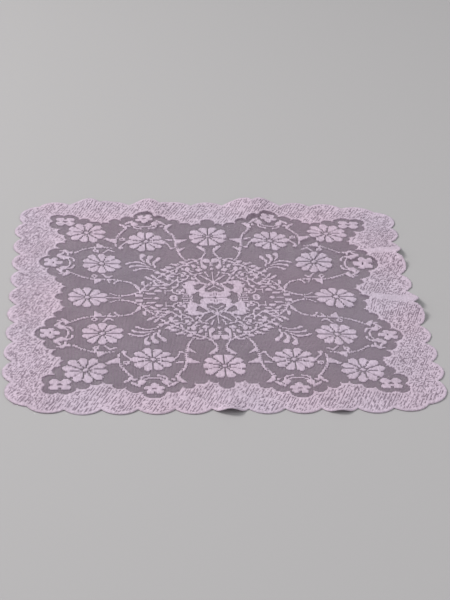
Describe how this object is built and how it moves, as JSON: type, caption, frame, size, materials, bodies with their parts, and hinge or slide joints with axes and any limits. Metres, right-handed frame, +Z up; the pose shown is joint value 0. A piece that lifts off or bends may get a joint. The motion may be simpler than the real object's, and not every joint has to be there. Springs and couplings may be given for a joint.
{
  "type": "lace doily",
  "caption": "Near-square lace doily with a wide scalloped border, net ground and knitted flowers and vines, lying flat with a few soft folds.",
  "frame": {"origin": "centre of the doily on the surface it lies on", "axes": "+X along the near edge to the right, +Y away from the near edge, +Z up"},
  "size_m": [0.4528, 0.4522, 0.0102],
  "materials": {
    "lace": "soft matt yarn, lilac white, sheer in the net"
  },
  "bodies": {
    "root": {"lace_doily": "lace"}
  },
  "joints": []
}
